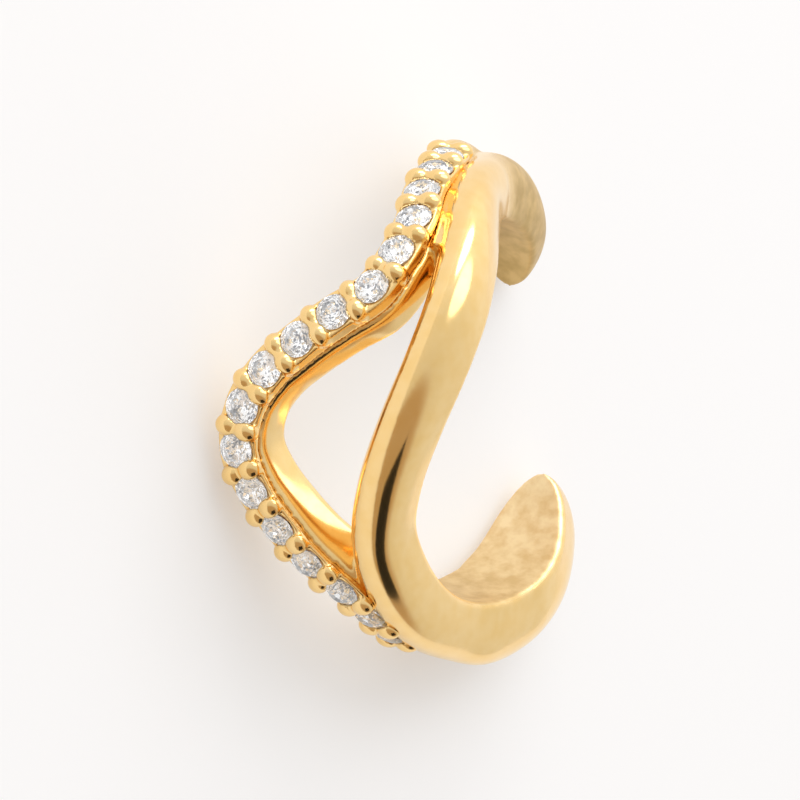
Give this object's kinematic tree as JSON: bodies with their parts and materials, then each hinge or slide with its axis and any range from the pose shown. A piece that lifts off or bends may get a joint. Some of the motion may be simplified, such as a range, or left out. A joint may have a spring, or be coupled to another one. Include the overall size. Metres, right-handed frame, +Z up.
{
  "type": "ear cuff",
  "caption": "Open ring for the ear: a smooth wavy strand and a stone-set strand part round an eye and meet in two rounded paddles.",
  "frame": {"origin": "middle of the box, on the surface that the cuff lies on", "axes": "+Z up from that surface, the ring's axis about 18 degrees off it; the strands at -Y, the gap between the paddles at +Y"},
  "size_m": [0.0144, 0.013, 0.0069],
  "materials": {
    "gilded_metal": "polished yellow gold plating, satin on the inner faces of the paddles",
    "clear_stone": "clear round brilliant, polished facets"
  },
  "bodies": {
    "root": {"cuff": "gilded_metal", "stone_01": "clear_stone", "stone_02": "clear_stone", "stone_03": "clear_stone", "stone_04": "clear_stone", "stone_05": "clear_stone", "stone_06": "clear_stone", "stone_07": "clear_stone", "stone_08": "clear_stone", "stone_09": "clear_stone", "stone_10": "clear_stone", "stone_11": "clear_stone", "stone_12": "clear_stone", "stone_13": "clear_stone", "stone_14": "clear_stone", "stone_15": "clear_stone", "stone_16": "clear_stone", "stone_17": "clear_stone"}
  },
  "joints": []
}
